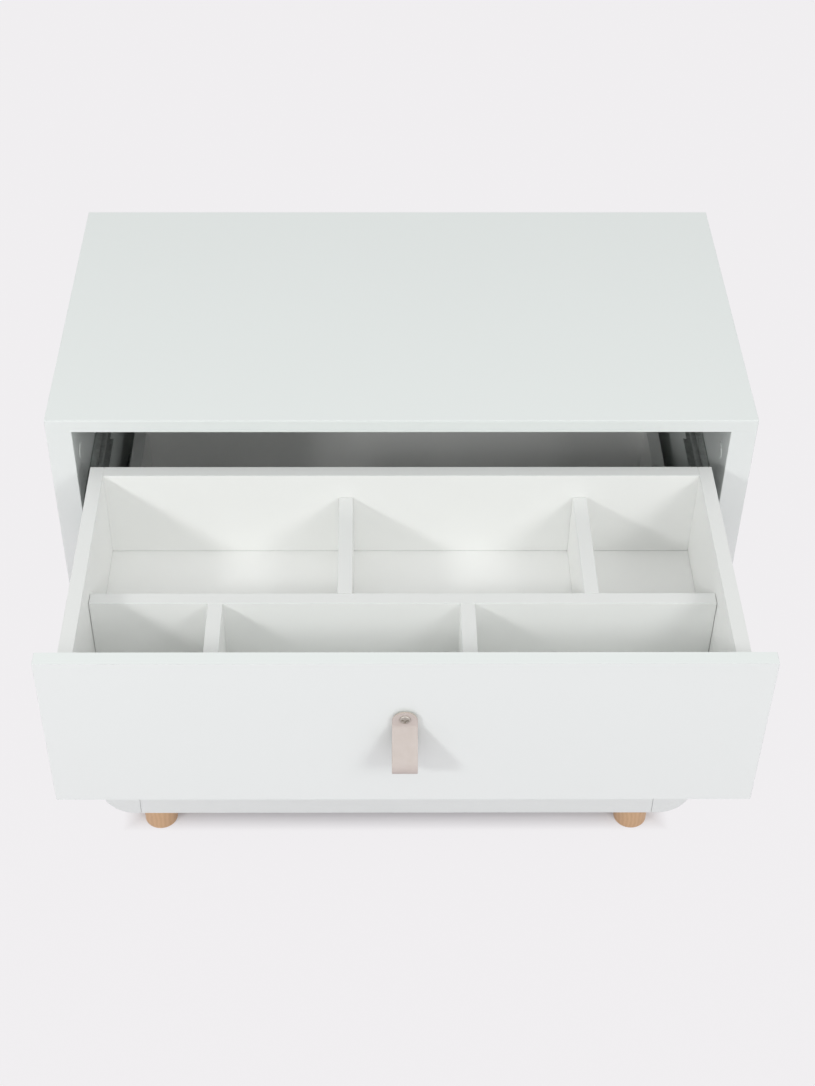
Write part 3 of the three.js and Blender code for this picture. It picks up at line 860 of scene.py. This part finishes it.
head_radius, head_height, head_edge, shank_radius = 0.0042, 0.0014, 0.0012, 0.0025
recess_length, recess_width, recess_depth = 0.0056, 0.0016, 0.0012
shank_point, shank_point_length = 0.0004, 0.0005
bpy.ops.mesh.primitive_cylinder_add(
    vertices=48,
    radius=head_radius,
    depth=head_height,
    location=(0, low_screw.y + head_height / 2, screw_z),
    rotation=(pi / 2, 0, 0),
)
screw = bpy.context.active_object
lay_down(screw, "pull_screw")
round_over(screw, head_edge, lambda a, b: at(a.y, low_screw.y) and at(b.y, low_screw.y), steps=6)
bpy.ops.object.mode_set(mode="EDIT")
select(screw, "FACE", lambda middle, normal: normal.y > 0.99)
bpy.ops.mesh.inset(thickness=head_radius - shank_radius, depth=0)
plain = high_screw.y - low_screw.y - head_height - shank_point_length
bpy.ops.mesh.extrude_region_move(TRANSFORM_OT_translate={"value": (0, plain, 0)})
bpy.ops.mesh.inset(thickness=shank_point, depth=shank_point_length)
bpy.ops.object.mode_set(mode="OBJECT")
crosses = []
for x, z in ((recess_length, recess_width), (recess_width, recess_length)):
    bpy.ops.mesh.primitive_cube_add(
        size=1, location=(0, low_screw.y, screw_z), scale=(x, 2 * recess_depth, z)
    )
    crosses.append(bpy.context.active_object)
cut_out(screw, crosses)
apply(screw, "BEVEL", width=0.0001, segments=2, limit_method="ANGLE", angle_limit=radians(50))

low_nut, high_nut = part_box("top_drawer_pull_nut")
bpy.ops.mesh.primitive_cylinder_add(
    vertices=6,
    radius=(high_nut.z - low_nut.z) / 2,
    depth=high_nut.y - low_nut.y,
    location=(0, (low_nut.y + high_nut.y) / 2, screw_z),
    rotation=(pi / 2, 0, 0),
)
nut = bpy.context.active_object
lay_down(nut, "hexagon_nut")
nut_bore = shank_radius + 0.0002
bpy.ops.mesh.primitive_cylinder_add(
    vertices=32,
    radius=nut_bore,
    depth=screw_hole_depth,
    location=(0, low_nut.y, screw_z),
    rotation=(pi / 2, 0, 0),
)
cut_out(nut, [bpy.context.active_object])
apply(nut, "BEVEL", width=0.0004, segments=2, limit_method="ANGLE", angle_limit=radians(50))

for level in levels:
    for shape, part, slot, finish in (
        (strap, "strap", "strap_leather", (hide_face, hide_edge)),
        (screw, "screw", "screw_metal", (nickel,)),
        (nut, "nut", "runner_steel", (steel,)),
    ):
        node = f"{level}_drawer_pull_{part}"
        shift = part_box(node)[0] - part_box(f"top_drawer_pull_{part}")[0]
        piece = twin(shape, f"{shape.name}_{level}", shift)
        smooth(piece)
        if part != "strap":
            piece.data.materials.clear()
            piece.data.materials.append(finish[0])
        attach(piece, f"{level}_drawer")
        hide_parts(node)
for shape in (strap, screw, nut):
    bpy.data.objects.remove(shape)

# Floor and light
# A seamless pale studio floor, which shows a shadow only close to the chest, where its colour is also a
# little darker than the backdrop: painted shade that deepens the shadow. A small light stands to the left in
# front, a larger one to the right and a weak soft one over the camera. The white room fills the rest.

backdrop = srgb(241, 239, 241)


def seen_directly(tree):
    """1 where the camera, a reflection or glass looks at a surface, and 0 for light that it bounces."""
    path = add(tree, "LightPath")
    looked = path.outputs["Is Camera Ray"]
    for ray in ("Is Glossy Ray", "Is Transmission Ray"):
        looked = add(tree, "Math", {0: looked, 1: path.outputs[ray]}, operation="MAXIMUM").outputs[0]
    return looked


bpy.ops.mesh.primitive_plane_add(size=30, location=(0, 0, 0))
floor = bpy.context.active_object
floor.name = "studio_floor"
floor_paint = bpy.data.materials.new("studio_floor_paint")
floor_paint.use_nodes = True
tree = floor_paint.node_tree
tree.nodes.clear()
looked_at = seen_directly(tree)
# Seen directly, the lit floor's colour is a little darker than the backdrop: painted shade under the chest.
# The other colour is only for light that the floor bounces.
paint = add(tree, "Mix", {0: looked_at, 6: srgb(220, 211, 217), 7: srgb(228, 226, 228)}, data_type="RGBA")
lit = add(tree, "BsdfDiffuse", {"Color": paint.outputs[2]})
glow = add(tree, "Emission", {"Color": backdrop, "Strength": 1})
spot = add(tree, "SeparateXYZ", {0: add(tree, "TexCoord").outputs["Object"]})
across = add(tree, "Math", {0: spot.outputs["X"]}, operation="ABSOLUTE")
beyond_side = add(tree, "Math", {0: across.outputs[0], 1: half_width}, operation="SUBTRACT")
along = add(tree, "Math", {0: spot.outputs["Y"], 1: (front + back) / 2}, operation="SUBTRACT")
along = add(tree, "Math", {0: along.outputs[0]}, operation="ABSOLUTE")
beyond_end = add(tree, "Math", {0: along.outputs[0], 1: (back - front) / 2}, operation="SUBTRACT")
beyond = add(tree, "Math", {0: beyond_side.outputs[0], 1: beyond_end.outputs[0]}, operation="MAXIMUM")
fade_start, fade_end, clear_share = -0.0365, -0.012, 0.975
fade = {"Value": beyond.outputs[0], "From Min": fade_start, "From Max": fade_end, "To Max": clear_share}
open_floor = add(tree, "MapRange", fade)
share = add(tree, "Math", {0: looked_at, 1: open_floor.outputs[0]}, operation="MULTIPLY")
ground = add(tree, "MixShader", {0: share.outputs[0], 1: lit.outputs[0], 2: glow.outputs[0]})
add(tree, "OutputMaterial", {"Surface": ground.outputs[0]})
floor.data.materials.append(floor_paint)

world = bpy.data.worlds.new("studio")
bpy.context.scene.world = world
world.use_nodes = True
tree = world.node_tree
tree.nodes.clear()
fill = add(tree, "Background", {"Color": (1, 1, 1, 1), "Strength": 0.73})
plain = add(tree, "Background", {"Color": backdrop, "Strength": 1})
sky = add(tree, "MixShader", {0: seen_directly(tree), 1: fill.outputs[0], 2: plain.outputs[0]})
add(tree, "OutputWorld", {"Surface": sky.outputs[0]})

aim = Vector((0, -0.1, 0.35))
for name, place, size, power in (
    ("left_light", Vector((-1.41, -1.35, 1.48)), 0.25, 11),
    ("right_light", Vector((1.25, -1.57, 1.68)), 0.7, 11.4),
    ("front_light", Vector((-0.1, -2.1, 2.5)), 1.4, 3.3),
):
    lamp = bpy.data.lights.new(name, "AREA")
    lamp.shape = "SQUARE"
    lamp.size = size
    lamp.energy = power
    stand = bpy.data.objects.new(name, lamp)
    bpy.context.scene.collection.objects.link(stand)
    stand.visible_camera = False
    stand.location = place
    stand.rotation_euler = (aim - place).to_track_quat("-Z", "Y").to_euler()

# Camera
# It stands a little left of the middle and looks down on the open drawer.

camera = bpy.data.cameras.new("camera")
camera.sensor_width = 36
camera.lens = 59.497
camera.shift_x = 0.02656
camera.shift_y = -0.00086
eye = bpy.data.objects.new("camera", camera)
bpy.context.scene.collection.objects.link(eye)
heading, downward, roll = -0.262, 42.392, 0.141
turn = Matrix.Rotation(radians(heading), 4, "Z") @ Matrix.Rotation(radians(90 - downward), 4, "X")
turn = turn @ Matrix.Rotation(radians(roll), 4, "Z")
eye.matrix_world = Matrix.Translation((-0.024393, -1.195482, 1.4989)) @ turn
bpy.context.scene.camera = eye
bpy.context.scene.view_settings.view_transform = "Standard"
